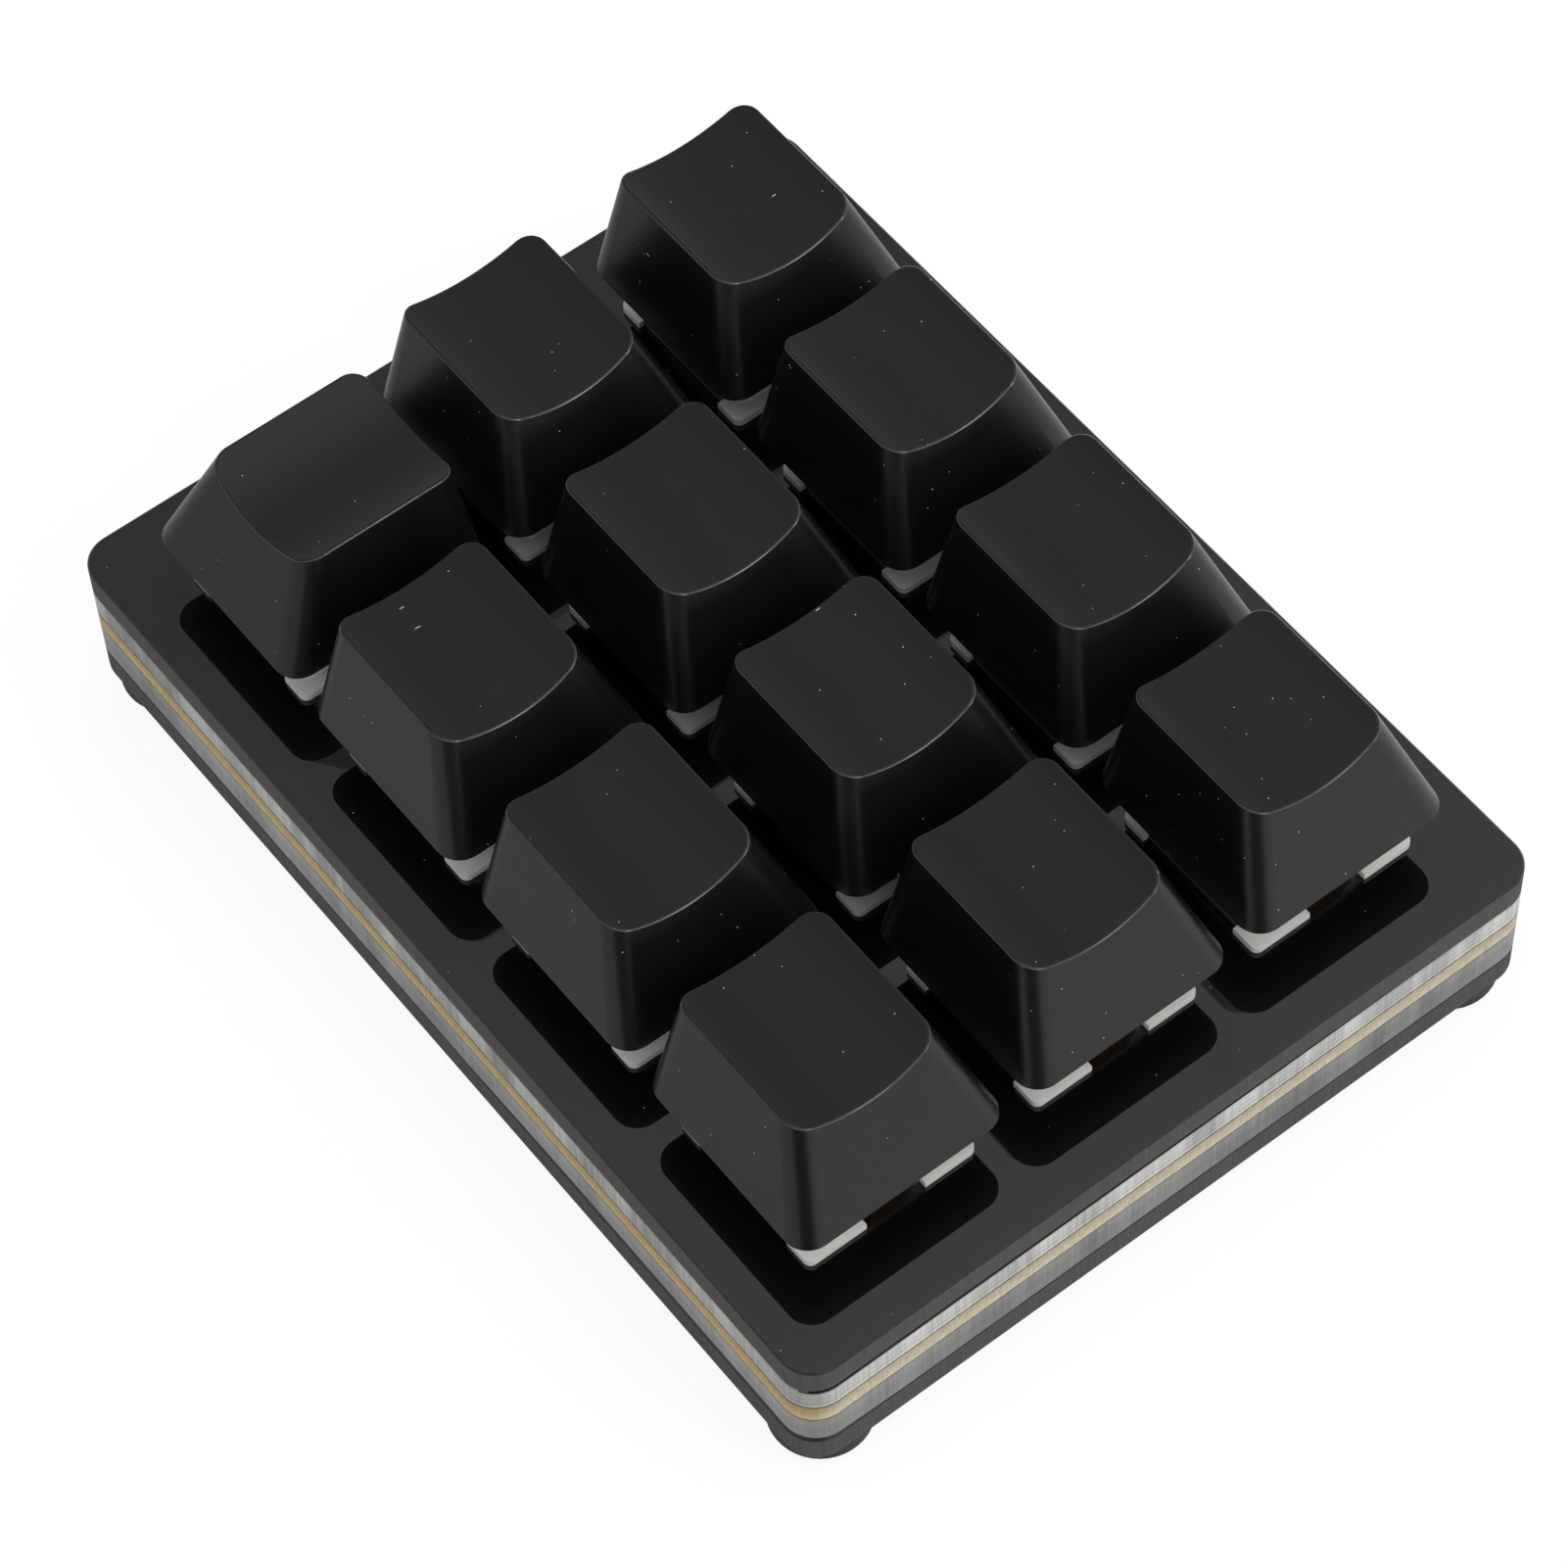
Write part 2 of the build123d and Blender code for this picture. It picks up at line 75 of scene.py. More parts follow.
# Camera of the photograph, which is square. Lens and sensor are in millimetres, the turn is in degrees.
CAMERA_PLACE = (-123.64 * MM, -173.25 * MM, 327.36 * MM)
CAMERA_TURN = (33.353, 1.637, -37.820)
CAMERA_LENS = 125.16
CAMERA_SENSOR = 36.0
CAMERA_CLIP = (0.01, 20.0)

# Studio: a white floor, a pale wall all round that is dark behind the camera, a greyer ceiling, one very
# large soft box over the front and one small lamp beside it. Headings are degrees from +X towards +Y.
WHITE = (1.0, 1.0, 1.0, 1.0)
SEEN_LEVEL = 1.0
FLOOR_SIDE = 4.0
FLOOR_WHITE = (0.80, 0.80, 0.80, 1.0)
FLOOR_SEEN_GLOW = 0.89
FLOOR_SEEN_ALBEDO = (0.12, 0.12, 0.12, 1.0)
WALL_LEVEL = 1.10
WALL_SWING = 0.40
WALL_BRIGHT_HEADING = -70.0
WALL_HEIGHT = (0.02, 0.45)
DARK_HEADING = -126.0
DARK_EDGE = (17.0, 26.0)
DARK_SHARE = 1.0
DARK_HEIGHT = (0.12, 0.35)
SKY_LEVEL = 0.58
SOFT_BOX_WAY = (0.148, -0.382, 0.912)
SOFT_BOX_EDGE = (3.0, 75.0)
SOFT_BOX_LEVEL = 1.5
LAMP_WAY = (0.318, -0.632, 0.707)
LAMP_EDGE = (4.0, 9.0)
LAMP_LEVEL = 8.0

# A surface faces one way where that part of its direction is over this share
FACING_SHARE = 0.5

# Caps' top edges, worn glossy with a painted highlight, by how far the surface faces up: where it comes in
# and goes out
WEAR_AND_HIGHLIGHT_IN = (0.54, 0.66)
WEAR_AND_HIGHLIGHT_OUT = (0.78, 0.90)

# Dust: size of the cells that may hold a speck, the speck's radius, and how far a fibre is drawn out
ROUND_SPECK = (0.8 * MM, 0.045 * MM)
FIBRE_ACROSS = (1.4 * MM, 0.040 * MM)
FIBRE_ACROSS_STRETCH = (0.13, 1.0, 1.0)
FIBRE_ALONG = (1.5 * MM, 0.040 * MM)
FIBRE_ALONG_STRETCH = (1.0, 0.15, 1.0)

# Notch for a clip at the two sides of each switch, darkened as painted shade: from the switch's middle, along
# it, and up from the deck
NOTCH_ACROSS = (5.5 * MM, 6.6 * MM)
NOTCH_HALF_LENGTH = 4.72 * MM
NOTCH_HEIGHT = 1.72 * MM
# Share of the housing's colour kept in the notches, which are darkened as painted shade
NOTCH_SHADE = 0.15

# Painted shadow of a slit under the top plate, on the front wall: its ends across, and how wide it is at them
TOP_SLIT_SHADOW_ENDS = (-22.0 * MM, 26.0 * MM)
TOP_SLIT_SHADOW_WIDTHS = (0.32 * MM, 0.05 * MM)

# Painted shadow of a slit over the bottom plate, round the front left corner: X minus Y where it opens and
# where it shuts
BOTTOM_SLIT_SHADOW_OPENS = (-34.0 * MM, -14.0 * MM)
BOTTOM_SLIT_SHADOW_SHUTS = (8.0 * MM, 24.0 * MM)
BOTTOM_SLIT_SHADOW_WIDTH = 0.55 * MM
# Colour of the painted shadow in both slits
SLIT_SHADOW_BLACK = (0.004, 0.004, 0.004)

# Acrylic, and the front left corner of the clear layers, which is painted paler as painted light: X plus Y
# where that fades out
ACRYLIC_IOR = 1.49
LIT_CORNER = (-61.0 * MM, -59.5 * MM)
LIT_CORNER_GAIN = 0.25

# Scale of the circuit board's tracks, per metre, and the spacing of the gilt strips on the inlet's tongue
TRACK_SCALE = 320.0
STRIP_SPACING = 0.65 * MM

# Scales of the noise in each finish, per metre
CAP_GRAIN = 7000.0
CAP_CLOUD = 260.0
PLASTIC_GRAIN = 6700.0
PLASTIC_CLOUD = 420.0
METAL_MARKS = 2600.0
METAL_STAIN = 700.0
TONGUE_GRAIN = 6000.0
RUBBER_PITS = 5200.0
RUBBER_BLOOM = 500.0
POLISH_SMEAR = 90.0

# Scales of the marks on the cut walls of the layers: along the wall and up it, per metre
BLACK_MARKS = (5200.0, 90.0)
BLACK_BLOTCHES = (260.0, 160.0)
CLEAR_MARKS = (4200.0, 60.0)
CLEAR_PATCHES = (170.0, 30.0)
BOARD_FIBRES = (900.0, 9000.0)
BOARD_MARKS = (4800.0, 700.0)

# Share of the dust cells that hold a speck
CAP_DUST = 0.16
PLATE_DUST = 0.12


class Nodes:
    """A node tree, with short calls for the nodes that a recipe needs."""

    def __init__(self, tree):
        self.tree = tree

    def node(self, kind, **settings):
        """A new node of a kind, with its settings."""
        made = self.tree.nodes.new(kind)
        for setting, value in settings.items():
            setattr(made, setting, value)
        return made

    def feed(self, socket, source):
        """Give a socket a number, a colour or the output of another node."""
        if isinstance(source, bpy.types.NodeSocket):
            self.tree.links.new(source, socket)
        else:
            socket.default_value = source

    def math(self, operation, first, second=0.0, clamp=False):
        """The result of one operation on numbers."""
        made = self.node("ShaderNodeMath", operation=operation, use_clamp=clamp)
        self.feed(made.inputs[0], first)
        self.feed(made.inputs[1], second)
        return made.outputs[0]

    def vector(self, operation, first, second=(1.0, 1.0, 1.0), result="Vector"):
        """The result of one operation on vectors."""
        made = self.node("ShaderNodeVectorMath", operation=operation)
        self.feed(made.inputs[0], first)
        self.feed(made.inputs[1], second)
        return made.outputs[result]

    def part(self, source, letter):
        """One of the three numbers of a vector."""
        made = self.node("ShaderNodeSeparateXYZ")
        self.feed(made.inputs[0], source)
        return made.outputs[letter]

    def remap(self, source, low, high, to_low=0.0, to_high=1.0):
        """A number that goes smoothly from one value to another between two places."""
        made = self.node("ShaderNodeMapRange", interpolation_type="SMOOTHSTEP")
        for socket, value in zip(made.inputs, (source, low, high, to_low, to_high)):
            self.feed(socket, value)
        return made.outputs[0]

    def near(self, way, middle, edge, level=1.0):
        """A level round one way, which fades out between two angles in degrees from it."""
        inner, outer = (math.cos(math.radians(angle)) for angle in edge)
        return self.remap(self.vector("DOT_PRODUCT", way, middle, "Value"), outer, inner, 0.0, level)


class Paint(Nodes):
    """A node material on a Principled shader."""

    def __init__(self, name):
        self.material = bpy.data.materials.new(name)
        self.material.use_nodes = True
        super().__init__(self.material.node_tree)
        self.shader = self.tree.nodes["Principled BSDF"]
        self.coords = self.node("ShaderNodeTexCoord")

    def set(self, **inputs):
        """Set the Principled shader's inputs, named with underscores for spaces."""
        for name, source in inputs.items():
            self.feed(self.shader.inputs[name.replace("_", " ")], source)

    def place(self, stretch=(1.0, 1.0, 1.0)):
        """Place on the piece in metres, which stays with it when it moves."""
        return self.vector("MULTIPLY", self.coords.outputs["Object"], stretch)

    def axis(self, letter):
        """One coordinate of the place on the piece, in metres."""
        return self.part(self.coords.outputs["Object"], letter)

    def facing(self, letter):
        """One part of the surface's own direction, from -1 to 1."""
        return self.part(self.coords.outputs["Normal"], letter)

    def upright(self):
        """1 on walls, 0 on level faces."""
        return self.math("LESS_THAN", self.math("ABSOLUTE", self.facing("Z")), FACING_SHARE)

    def run(self):
        """Place along a wall, whichever way it runs: X plus Y, in metres."""
        return self.math("ADD", self.axis("X"), self.axis("Y"))

    def along_rim(self, across, up):
        """Place for streaks on upright walls: along the wall, and up it, each times a scale."""
        made = self.node("ShaderNodeCombineXYZ")
        self.feed(made.inputs[0], self.math("MULTIPLY", self.run(), across))
        self.feed(made.inputs[1], self.math("MULTIPLY", self.axis("Z"), up))
        return made.outputs[0]

    def noise(self, scale, detail=2.0, rough=0.5, at=None):
        """Cloudy noise from 0 to 1, by place on the piece or at another place."""
        made = self.node("ShaderNodeTexNoise")
        self.feed(made.inputs["Vector"], self.place() if at is None else at)
        made.inputs["Scale"].default_value = scale
        made.inputs["Detail"].default_value = detail
        made.inputs["Roughness"].default_value = rough
        return made.outputs["Fac"]

    def blend(self, share, first, second):
        """A colour between two, by a share from 0 to 1."""
        made = self.node("ShaderNodeMix", data_type="RGBA")
        self.feed(made.inputs["Factor"], share)
        for socket, source in zip((made.inputs[6], made.inputs[7]), (first, second)):
            self.feed(socket, (*source, 1.0) if isinstance(source, tuple) else source)
        return made.outputs[2]

    def ramp(self, source, stops):
        """A colour by place along a list of (place, colour)."""
        made = self.node("ShaderNodeValToRGB")
        band = made.color_ramp
        while len(band.elements) < len(stops):
            band.elements.new(1.0)
        for element, (place, colour) in zip(band.elements, stops):
            element.position = place
            element.color = (*colour, 1.0)
        self.feed(made.inputs[0], source)
        return made.outputs[0]

    def specks(self, size, share, stretch=(1.0, 1.0, 1.0)):
        """1 on scattered dust, 0 elsewhere: a share of the cells, drawn out by a stretch, hold a speck."""
        cell, radius = size
        made = self.node("ShaderNodeTexVoronoi")
        self.feed(made.inputs["Vector"], self.place(stretch))
        made.inputs["Scale"].default_value = 1.0 / cell
        near = self.math("LESS_THAN", made.outputs["Distance"], radius / cell)
        pick = self.node("ShaderNodeSeparateColor")
        self.feed(pick.inputs[0], made.outputs["Color"])
        chosen = self.math("LESS_THAN", pick.outputs[0], share)
        return self.math("MULTIPLY", near, chosen)

    def dust(self, share):
        """1 on round specks and on short fibres, 0 elsewhere."""
        round_ones = self.specks(ROUND_SPECK, share)
        across = self.specks(FIBRE_ACROSS, share, FIBRE_ACROSS_STRETCH)
        along = self.specks(FIBRE_ALONG, share, FIBRE_ALONG_STRETCH)
        return self.math("MAXIMUM", round_ones, self.math("MAXIMUM", across, along))

    def brighten(self, colour, factor):
        """A colour times a number."""
        made = self.node("ShaderNodeVectorMath", operation="SCALE")
        self.feed(made.inputs[0], colour)
        self.feed(made.inputs["Scale"], factor)
        return made.outputs[0]

    def bump(self, height, depth, strength=1.0):
        """Raise the surface by a height from 0 to 1, as deep as a size in metres."""
        made = self.node("ShaderNodeBump")
        made.inputs["Distance"].default_value = depth
        made.inputs["Strength"].default_value = strength
        self.feed(made.inputs["Height"], height)
        self.feed(self.shader.inputs["Normal"], made.outputs[0])


def keycap_paint():
    """Satin black moulded plastic, with a fine eroded grain, a little dust, and top edges worn glossy and
    made a little lighter as a painted highlight.
    """
    paint = Paint("keycap_plastic")
    grain = paint.noise(CAP_GRAIN, detail=2.0)
    cloud = paint.noise(CAP_CLOUD, detail=3.0)
    tilt = paint.facing("Z")
    edge = paint.math("MULTIPLY", paint.remap(tilt, *WEAR_AND_HIGHLIGHT_IN), paint.remap(tilt, *WEAR_AND_HIGHLIGHT_OUT, 1.0, 0.0))
    black = paint.blend(cloud, (0.0034, 0.0034, 0.0036), (0.0050, 0.0050, 0.0053))
    # Painted highlight: the worn top edges are a little lighter than the rest of the cap
    black = paint.blend(edge, black, (0.012, 0.012, 0.012))
    paint.set(
        Base_Color=paint.blend(paint.dust(CAP_DUST), black, (0.50, 0.50, 0.49)),
        Roughness=paint.math("ADD", 0.27, paint.math("MULTIPLY", grain, 0.10)),
        Specular_IOR_Level=0.30,
        Coat_Weight=edge,
        Coat_Roughness=0.10,
    )
    paint.bump(grain, 0.010 * MM, 0.5)
    return paint.material


def black_acrylic_paint():
    """Black acrylic: polished faces, and cut walls with fine upright tool marks."""
    paint = Paint("black_acrylic")
    wall = paint.upright()
    marks = paint.noise(1.0, detail=3.0, rough=0.6, at=paint.along_rim(*BLACK_MARKS))
    blotch = paint.noise(1.0, detail=2.0, at=paint.along_rim(*BLACK_BLOTCHES))
    cut = paint.blend(marks, (0.050, 0.049, 0.048), (0.130, 0.128, 0.124))
    cut = paint.blend(paint.math("MULTIPLY", blotch, 0.35), cut, (0.070, 0.068, 0.066))
    polished = paint.blend(paint.dust(PLATE_DUST), (0.0030, 0.0030, 0.0030), (0.34, 0.34, 0.33))
    smear = paint.noise(POLISH_SMEAR, detail=4.0, rough=0.6)
    paint.set(
        Base_Color=paint.blend(wall, polished, cut),
        Roughness=paint.remap(wall, 0.0, 1.0, 0.30, 0.80),
        Specular_IOR_Level=0.05,
        Coat_Weight=paint.math("SUBTRACT", paint.remap(smear, 0.5, 0.8, 1.0, 0.9), wall, clamp=True),
        Coat_Roughness=0.03,
        Coat_IOR=ACRYLIC_IOR,
    )
    paint.bump(paint.math("MULTIPLY", marks, wall), 0.03 * MM, 0.7)
    return paint.material


def shadow_slit_under_top_plate(paint):
    """1 on the painted shadow of a slit at the head of the upper layer's front wall, which closes to the
    right.
    """
    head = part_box("upper_spacer")[1][2]
    front = paint.math("LESS_THAN", paint.facing("Y"), -FACING_SHARE)
    width = paint.remap(paint.axis("X"), *TOP_SLIT_SHADOW_ENDS, *TOP_SLIT_SHADOW_WIDTHS)
    above = paint.math("GREATER_THAN", paint.axis("Z"), paint.math("SUBTRACT", head, width))
    return paint.math("MULTIPLY", front, above)


def shadow_slit_over_bottom_plate(paint):
    """1 on the painted shadow of a slit at the foot of the lower layer's walls that meet at the front left
    corner.
    """
    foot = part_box("lower_spacer")[0][2]
    towards = paint.math("ADD", paint.facing("X"), paint.facing("Y"))
    along = paint.math("SUBTRACT", paint.axis("X"), paint.axis("Y"))
    opens = paint.remap(along, *BOTTOM_SLIT_SHADOW_OPENS, 0.0, BOTTOM_SLIT_SHADOW_WIDTH)
    shuts = paint.remap(along, *BOTTOM_SLIT_SHADOW_SHUTS, 1.0, 0.0)
    top = paint.math("ADD", foot, paint.math("MULTIPLY", opens, shuts))
    below = paint.math("LESS_THAN", paint.axis("Z"), top)
    return paint.math("MULTIPLY", paint.math("LESS_THAN", towards, -FACING_SHARE), below)


def clear_acrylic_paint(node, light_bands, side_light_gain, slit_shadow):
    """Clear acrylic: see-through faces, and frosted cut walls with streaks, painted bands of light and shade,
    painted light on the side walls and the front left corner, and the painted shadow of a slit.
    """
    paint = Paint(f"clear_acrylic_{node}")
    low, high = (corner[2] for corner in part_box(node))
    wall = paint.upright()
    marks = paint.noise(1.0, detail=3.0, rough=0.6, at=paint.along_rim(*CLEAR_MARKS))
    patches = paint.noise(1.0, detail=2.0, rough=0.7, at=paint.along_rim(*CLEAR_PATCHES))
    fine_streak = paint.remap(marks, 0.3, 0.7, -0.16, 0.16)
    streak = paint.math("ADD", fine_streak, paint.remap(patches, 0.3, 0.7, -0.30, 0.30))
    # Painted light: the front left corner is paler
    corner = paint.remap(paint.run(), *LIT_CORNER, LIT_CORNER_GAIN, 0.0)
    # Painted light: the side walls are brighter or darker than the front and back walls by their gain
    sideways_light = paint.math("MULTIPLY", paint.math("ABSOLUTE", paint.facing("X")), side_light_gain)
    height = paint.remap(paint.axis("Z"), low, high)
    factor = paint.math("ADD", paint.math("ADD", 1.0, sideways_light), paint.math("ADD", streak, corner))
    # Frosted grey of the walls, with painted bands of light and shade up them and painted light on sides and
    # corner
    frosted = paint.brighten(paint.ramp(height, light_bands), factor)
    # Painted shadow of a slit between the layers
    shadow = slit_shadow(paint)
    dense = paint.math("MAXIMUM", wall, shadow)
    clear_or_frosted = paint.blend(wall, (0.86, 0.88, 0.88), frosted)
    paint.set(
        Base_Color=paint.blend(shadow, clear_or_frosted, SLIT_SHADOW_BLACK),
        Roughness=paint.math("ADD", 0.08, paint.math("MULTIPLY", dense, 0.42)),
        Transmission_Weight=paint.math("SUBTRACT", 0.9, paint.math("MULTIPLY", dense, 0.75)),
        IOR=ACRYLIC_IOR,
        Specular_IOR_Level=0.10,
    )
    paint.bump(paint.math("MULTIPLY", marks, wall), 0.03 * MM, 0.6)
    return paint.material


def board_paint():
    """Circuit board: a tan edge of glass-fibre layers, and lacquered faces with faint tracks."""
    paint = Paint("circuit_board")
    edge = paint.upright()
    fibres = paint.noise(1.0, detail=3.0, rough=0.65, at=paint.along_rim(*BOARD_FIBRES))
    marks = paint.noise(1.0, detail=2.0, at=paint.along_rim(*BOARD_MARKS))
    tone = paint.math("ADD", paint.math("MULTIPLY", fibres, 0.6), paint.math("MULTIPLY", marks, 0.4))
    low, high = (corner[2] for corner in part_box("circuit_board"))
    tone = paint.math("ADD", tone, paint.remap(paint.axis("Z"), low, high, 0.12, -0.06))
    pale = paint.ramp(
        tone,
        [(0.30, (0.27, 0.220, 0.130)), (0.52, (0.45, 0.385, 0.265)), (0.75, (0.64, 0.580, 0.440))],
    )
    golden = paint.ramp(
        tone,
        [(0.30, (0.24, 0.140, 0.035)), (0.52, (0.41, 0.280, 0.095)), (0.75, (0.58, 0.450, 0.220))],
    )
    tan = paint.blend(paint.math("ABSOLUTE", paint.facing("X")), pale, golden)
    tracks = paint.node("ShaderNodeTexBrick")
    paint.feed(tracks.inputs["Vector"], paint.place())
    tracks.inputs["Scale"].default_value = TRACK_SCALE
    tracks.inputs["Mortar Size"].default_value = 0.05
    lacquer = paint.blend(tracks.outputs["Fac"], (0.012, 0.013, 0.014), (0.030, 0.030, 0.028))
    paint.set(
        Base_Color=paint.blend(edge, lacquer, tan),
        Roughness=paint.math("ADD", 0.28, paint.math("MULTIPLY", edge, 0.30)),
    )
    paint.bump(paint.math("MULTIPLY", tone, edge), 0.03 * MM, 0.6)
    return paint.material


def clip_notch_shade_mask(paint):
    """1 in the notches for the clips at the two sides of each switch, where painted shade goes; 0 elsewhere.
    """
    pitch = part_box("stem_r1c3")[0][0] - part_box("stem_r1c2")[0][0]
    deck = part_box("top_plate")[1][2]
    across = paint.math("PINGPONG", paint.axis("X"), pitch / 2)
    along = paint.math("PINGPONG", paint.math("ADD", paint.axis("Y"), pitch / 2), pitch / 2)
    inner, outer = NOTCH_ACROSS
    past_inner = paint.math("GREATER_THAN", across, inner)
    beside = paint.math("MINIMUM", past_inner, paint.math("LESS_THAN", across, outer))
    between = paint.math("LESS_THAN", along, NOTCH_HALF_LENGTH)
    over_deck = paint.math("GREATER_THAN", paint.axis("Z"), deck)
    under_head = paint.math("LESS_THAN", paint.axis("Z"), deck + NOTCH_HEIGHT)
    level = paint.math("MINIMUM", over_deck, under_head)
    return paint.math("MINIMUM", beside, paint.math("MINIMUM", between, level))


def plastic_paint(name, dark, light, rough, through=0.0, shade=None):
    """Moulded plastic with a fine grain and slightly uneven colour, darker as painted shade where a shade is
    1.
    """
    paint = Paint(name)
    grain = paint.noise(PLASTIC_GRAIN, detail=2.0)
    cloud = paint.noise(PLASTIC_CLOUD, detail=3.0)
    colour = paint.blend(cloud, dark, light)
    if shade:
        # Painted shade: the colour is darkened where the shade mask is 1
        colour = paint.brighten(colour, paint.remap(shade(paint), 0.0, 1.0, 1.0, NOTCH_SHADE))
    paint.set(
        Base_Color=colour,
        Roughness=paint.math("ADD", rough - 0.05, paint.math("MULTIPLY", grain, 0.10)),
        Subsurface_Weight=through,
        Subsurface_Radius=(1.0, 0.9, 0.8),
        Subsurface_Scale=0.6 * MM,
    )
    paint.bump(grain, 0.008 * MM, 0.5)
    return paint.material


def metal_paint(name, dark, light, rough, stretch):
    """Drawn or rolled metal, with marks that run the way it is stretched."""
    paint = Paint(name)
    marks = paint.noise(METAL_MARKS, detail=3.0, rough=0.6, at=paint.place(stretch))
    stain = paint.noise(METAL_STAIN, detail=3.0)
    paint.set(
        Base_Color=paint.blend(stain, dark, light),
        Metallic=1.0,
        Roughness=paint.math("ADD", rough - 0.08, paint.math("MULTIPLY", marks, 0.16)),
    )
    paint.bump(marks, 0.006 * MM, 0.5)
    return paint.material


def tongue_paint():
    """Black tongue of the inlet, with a row of gilt strips along its lower face."""
    paint = Paint("inlet_tongue")
    turns = paint.math("MULTIPLY", paint.axis("X"), 2.0 * math.pi / STRIP_SPACING)
    strip = paint.math("GREATER_THAN", paint.math("COSINE", turns), 0.1)
    under = paint.math("LESS_THAN", paint.facing("Z"), -FACING_SHARE)
    gilt = paint.math("MULTIPLY", strip, under)
    grain = paint.noise(TONGUE_GRAIN)
    paint.set(
        Base_Color=paint.blend(gilt, (0.014, 0.014, 0.014), (0.80, 0.58, 0.25)),
        Metallic=gilt,
        Roughness=paint.math("ADD", 0.35, paint.math("MULTIPLY", grain, 0.1)),
    )
    return paint.material


def rubber_paint():
    """Black rubber, dull, with a fine pitted skin and a paler bloom."""
    paint = Paint("foot_rubber")
    pits = paint.noise(RUBBER_PITS, detail=3.0, rough=0.6)
    bloom = paint.noise(RUBBER_BLOOM, detail=4.0, rough=0.6)
    paint.set(
        Base_Color=paint.blend(bloom, (0.010, 0.010, 0.010), (0.030, 0.030, 0.029)),
        Roughness=paint.math("ADD", 0.62, paint.math("MULTIPLY", pits, 0.2)),
        Specular_IOR_Level=0.35,
    )
    paint.bump(pits, 0.03 * MM, 0.8)
    return paint.material


# Finish of each slot of the record: dark and light colour, roughness and, on metal, the stretch of its marks
PAINTS = {
    "keycap": keycap_paint(),
    "stem": plastic_paint("stem_plastic", (0.24, 0.095, 0.04), (0.34, 0.14, 0.06), 0.38),
    "spring": metal_paint("spring_wire", (0.55, 0.55, 0.57), (0.70, 0.70, 0.71), 0.26, (1.0, 1.0, 6.0)),
    # The housing is darkened in its clip notches as painted shade
    "housing": plastic_paint(
        "housing_plastic", (0.72, 0.705, 0.675), (0.82, 0.81, 0.785), 0.42, through=0.2, shade=clip_notch_shade_mask
    ),
    "contact": metal_paint("contact_copper", (0.78, 0.36, 0.17), (0.90, 0.50, 0.28), 0.50, (1.0, 1.0, 0.1)),
    "black_acrylic": black_acrylic_paint(),
    "board": board_paint(),
    "foot": rubber_paint(),
    "screw": metal_paint("screw_steel", (0.05, 0.05, 0.055), (0.11, 0.11, 0.115), 0.38, (1.0, 1.0, 1.0)),
    "insert": metal_paint("insert_brass", (0.62, 0.46, 0.19), (0.76, 0.60, 0.30), 0.30, (1.0, 1.0, 8.0)),
    "inlet": metal_paint("inlet_steel", (0.60, 0.60, 0.61), (0.74, 0.74, 0.74), 0.30, (1.0, 0.08, 1.0)),
    "tongue": tongue_paint(),
    "chip": plastic_paint("chip_package", (0.020, 0.020, 0.021), (0.034, 0.034, 0.035), 0.55),
    "crystal": metal_paint("crystal_can", (0.62, 0.60, 0.54), (0.76, 0.74, 0.68), 0.28, (0.1, 1.0, 1.0)),
}

# Greys up the cut walls of the two clear layers, from the foot of the wall to its head, with painted bands of
# light and shade
UPPER_LIGHT_BANDS = [
    (0.00, (0.560, 0.535, 0.460)),
    (0.10, (0.570, 0.555, 0.510)),
    (0.16, (0.380, 0.378, 0.360)),
    (0.24, (0.460, 0.460, 0.450)),
    (0.34, (0.540, 0.540, 0.530)),
    (0.55, (0.460, 0.460, 0.450)),
    (0.75, (0.560, 0.560, 0.550)),
    (1.00, (0.440, 0.440, 0.430)),
]
LOWER_LIGHT_BANDS = [
    (0.00, (0.170, 0.170, 0.170)),
    (0.06, (0.198, 0.196, 0.198)),
    (0.50, (0.188, 0.186, 0.188)),
    (0.90, (0.240, 0.234, 0.228)),
    (1.00, (0.240, 0.228, 0.212)),
]

# Painted light on the side walls of the two clear layers: how much brighter (plus) or darker (minus) they are
# than their front and back walls
UPPER_SIDE_LIGHT_GAIN = -0.26
LOWER_SIDE_LIGHT_GAIN = 0.34

# Finish of the two clear layers, which differ
NODE_PAINTS = {
    "upper_spacer": clear_acrylic_paint("upper_spacer", UPPER_LIGHT_BANDS, UPPER_SIDE_LIGHT_GAIN, shadow_slit_under_top_plate),
    "lower_spacer": clear_acrylic_paint("lower_spacer", LOWER_LIGHT_BANDS, LOWER_SIDE_LIGHT_GAIN, shadow_slit_over_bottom_plate),
}


def dress():
    """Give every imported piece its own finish, or the finish of its slot."""
    for subpart in frame["record"]["subparts"]:
        name, slot = subpart["node"], subpart["material_slot"]
        piece = frame["nodes"][name]
        piece.data.materials.clear()
        piece.data.materials.append(NODE_PAINTS.get(name) or PAINTS[slot])


def fit_springs():
    """Put a copy of each packed spring in its place, on the parent body of its key's joint, and hide the
    packed one.
    """
    for joint in frame["joints"]:
        key = joint["name"].removeprefix("press_")
        node = f"spring_{key}"
        spring = bpy.data.objects.new(f"return_spring_{key}", frame["nodes"][node].data.copy())
        bpy.context.scene.collection.objects.link(spring)
        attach(spring, joint["parent"])
        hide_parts(node)
        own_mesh(spring)


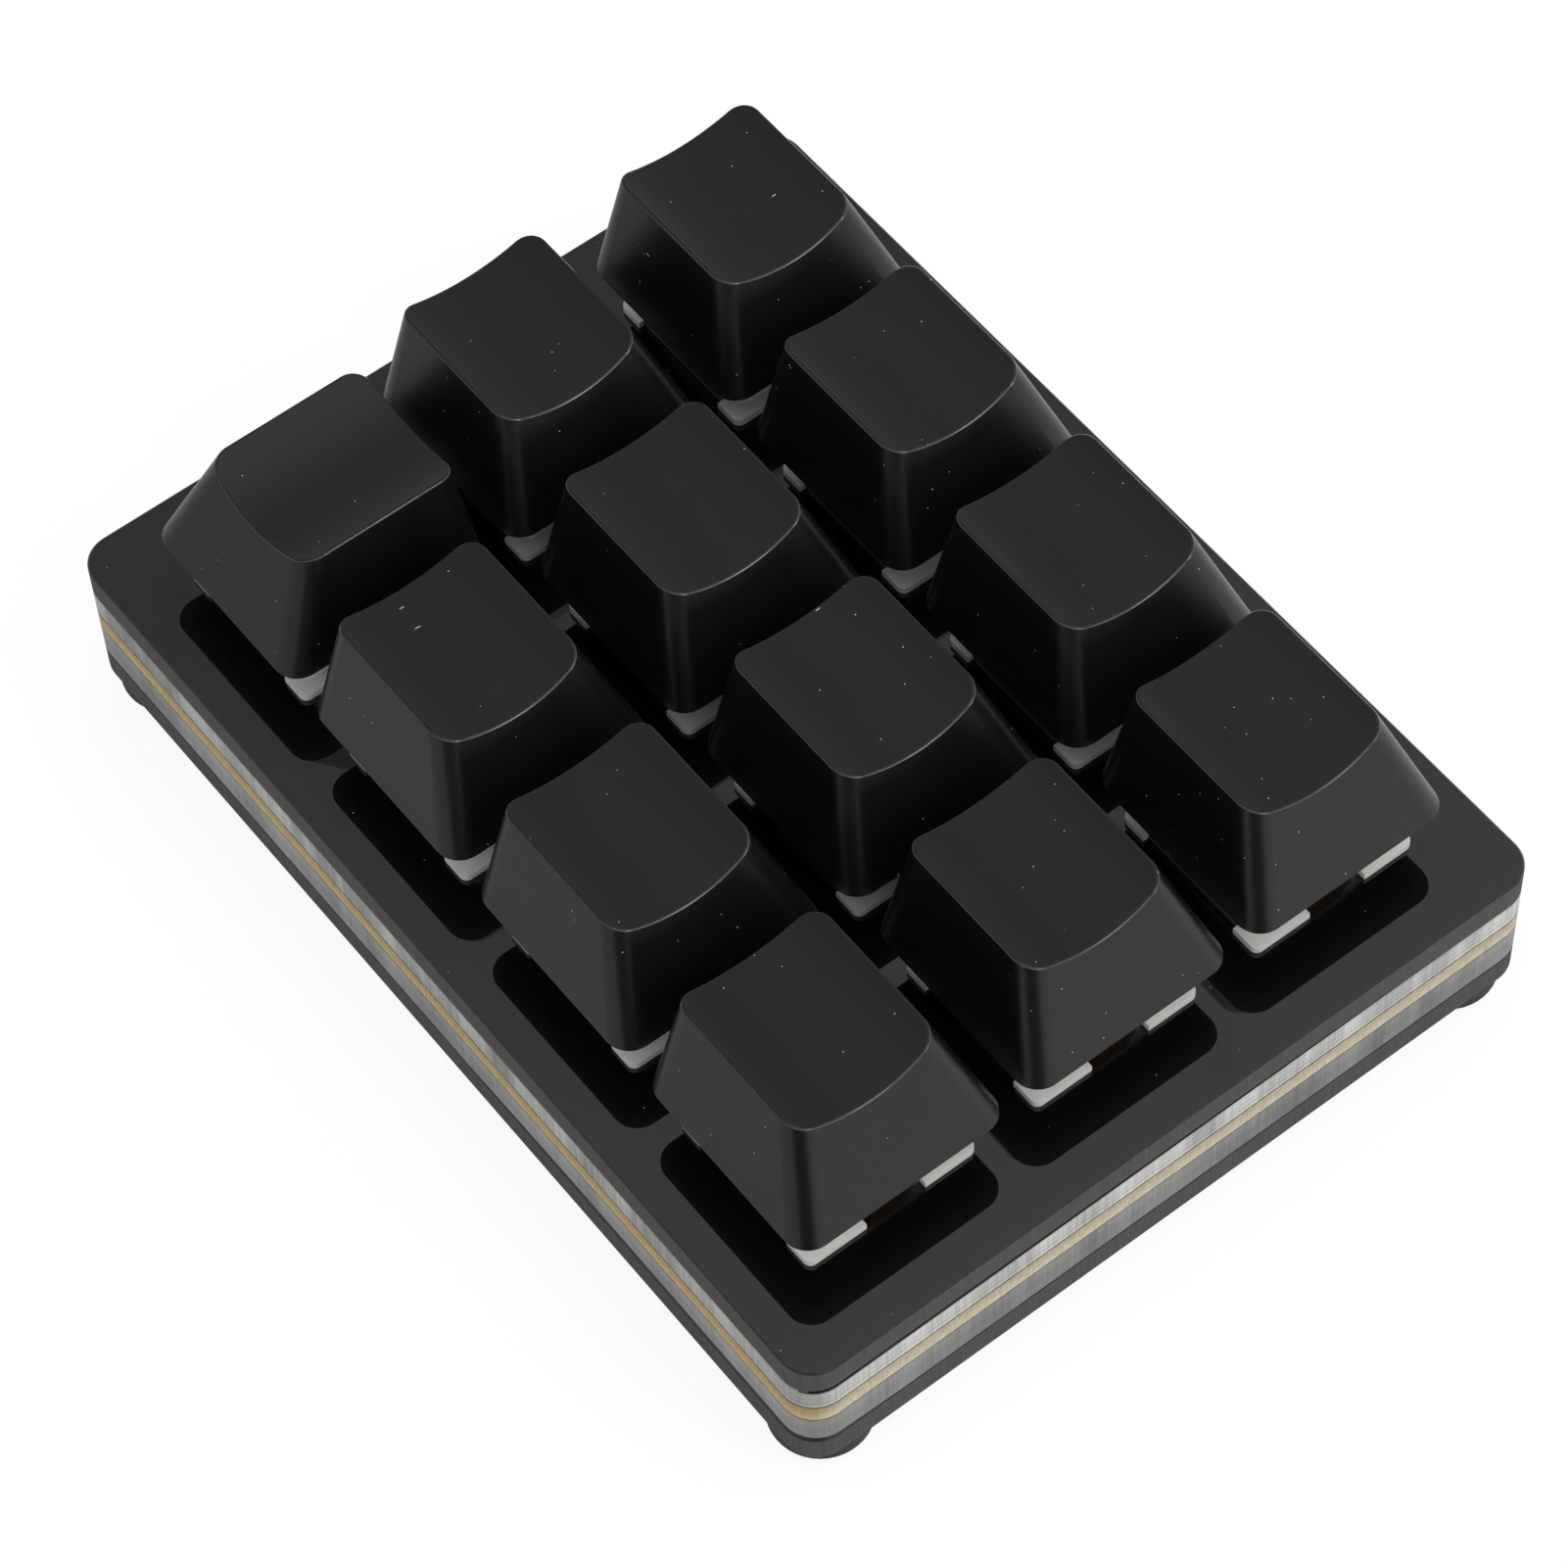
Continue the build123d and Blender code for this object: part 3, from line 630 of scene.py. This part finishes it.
def lay_floor():
    """A plain white floor, white where it is looked at, which takes the shadow and is open from below."""
    bpy.ops.mesh.primitive_plane_add(size=FLOOR_SIDE)
    floor = bpy.context.object
    floor.name = "floor"
    floor.visible_glossy = False
    material = bpy.data.materials.new("floor_white")
    material.use_nodes = True
    material.cycles.emission_sampling = "NONE"
    material.node_tree.nodes.clear()
    nodes = Nodes(material.node_tree)
    path = nodes.node("ShaderNodeLightPath")
    plain = nodes.node("ShaderNodeBsdfDiffuse")
    plain.inputs["Color"].default_value = FLOOR_WHITE
    shaded = nodes.node("ShaderNodeBsdfDiffuse")
    shaded.inputs["Color"].default_value = FLOOR_SEEN_ALBEDO
    glow = nodes.node("ShaderNodeEmission")
    glow.inputs["Strength"].default_value = FLOOR_SEEN_GLOW
    seen = nodes.node("ShaderNodeAddShader")
    nodes.feed(seen.inputs[0], shaded.outputs[0])
    nodes.feed(seen.inputs[1], glow.outputs[0])
    either = nodes.node("ShaderNodeMixShader")
    looked_at = nodes.math("MAXIMUM", path.outputs["Is Camera Ray"], path.outputs["Is Transmission Ray"])
    nodes.feed(either.inputs[0], looked_at)
    nodes.feed(either.inputs[1], plain.outputs[0])
    nodes.feed(either.inputs[2], seen.outputs[0])
    one_sided = nodes.node("ShaderNodeMixShader")
    nodes.feed(one_sided.inputs[0], nodes.node("ShaderNodeNewGeometry").outputs["Backfacing"])
    nodes.feed(one_sided.inputs[1], either.outputs[0])
    nodes.feed(one_sided.inputs[2], nodes.node("ShaderNodeBsdfTransparent").outputs[0])
    output = nodes.node("ShaderNodeOutputMaterial")
    nodes.feed(output.inputs["Surface"], one_sided.outputs[0])
    floor.data.materials.append(material)


def heading(degrees):
    """Level way at an angle from +X towards +Y."""
    return (math.cos(math.radians(degrees)), math.sin(math.radians(degrees)), 0.0)


def light_world():
    """The studio, as light from every side. Reflections see its wall below the horizon too."""
    world = bpy.data.worlds.new("studio")
    bpy.context.scene.world = world
    world.use_nodes = True
    nodes = Nodes(world.node_tree)
    way = nodes.node("ShaderNodeTexCoord").outputs["Generated"]
    up = nodes.part(way, "Z")
    level_way = nodes.vector("NORMALIZE", nodes.vector("MULTIPLY", way, (1.0, 1.0, 0.0)))
    side = nodes.vector("DOT_PRODUCT", level_way, heading(WALL_BRIGHT_HEADING), "Value")
    wall = nodes.math("ADD", WALL_LEVEL, nodes.math("MULTIPLY", side, WALL_SWING))
    dark_low = nodes.remap(up, *DARK_HEIGHT, DARK_SHARE, 0.0)
    dark = nodes.math("MULTIPLY", nodes.near(level_way, heading(DARK_HEADING), DARK_EDGE), dark_low)
    wall = nodes.math("MULTIPLY", wall, nodes.math("SUBTRACT", 1.0, dark))
    room = nodes.remap(up, *WALL_HEIGHT, wall, SKY_LEVEL)
    box = nodes.near(way, SOFT_BOX_WAY, SOFT_BOX_EDGE, SOFT_BOX_LEVEL)
    lamp = nodes.near(way, LAMP_WAY, LAMP_EDGE, LAMP_LEVEL)
    light = nodes.math("MAXIMUM", nodes.math("MAXIMUM", room, box), lamp)
    level = nodes.node("ShaderNodeMix")
    nodes.feed(level.inputs["Factor"], nodes.node("ShaderNodeLightPath").outputs["Is Camera Ray"])
    nodes.feed(level.inputs["A"], light)
    nodes.feed(level.inputs["B"], SEEN_LEVEL)
    background = world.node_tree.nodes["Background"]
    background.inputs["Color"].default_value = WHITE
    nodes.feed(background.inputs["Strength"], level.outputs[0])


def set_camera():
    """The photograph's camera."""
    camera = bpy.data.cameras.new("photo_camera")
    camera.lens = CAMERA_LENS
    camera.sensor_width = CAMERA_SENSOR
    camera.clip_start, camera.clip_end = CAMERA_CLIP
    holder = bpy.data.objects.new("photo_camera", camera)
    bpy.context.scene.collection.objects.link(holder)
    holder.location = CAMERA_PLACE
    holder.rotation_euler = [math.radians(angle) for angle in CAMERA_TURN]
    bpy.context.scene.camera = holder


dress()
fit_springs()
lay_floor()
light_world()
set_camera()
bpy.context.scene.view_settings.view_transform = "Standard"
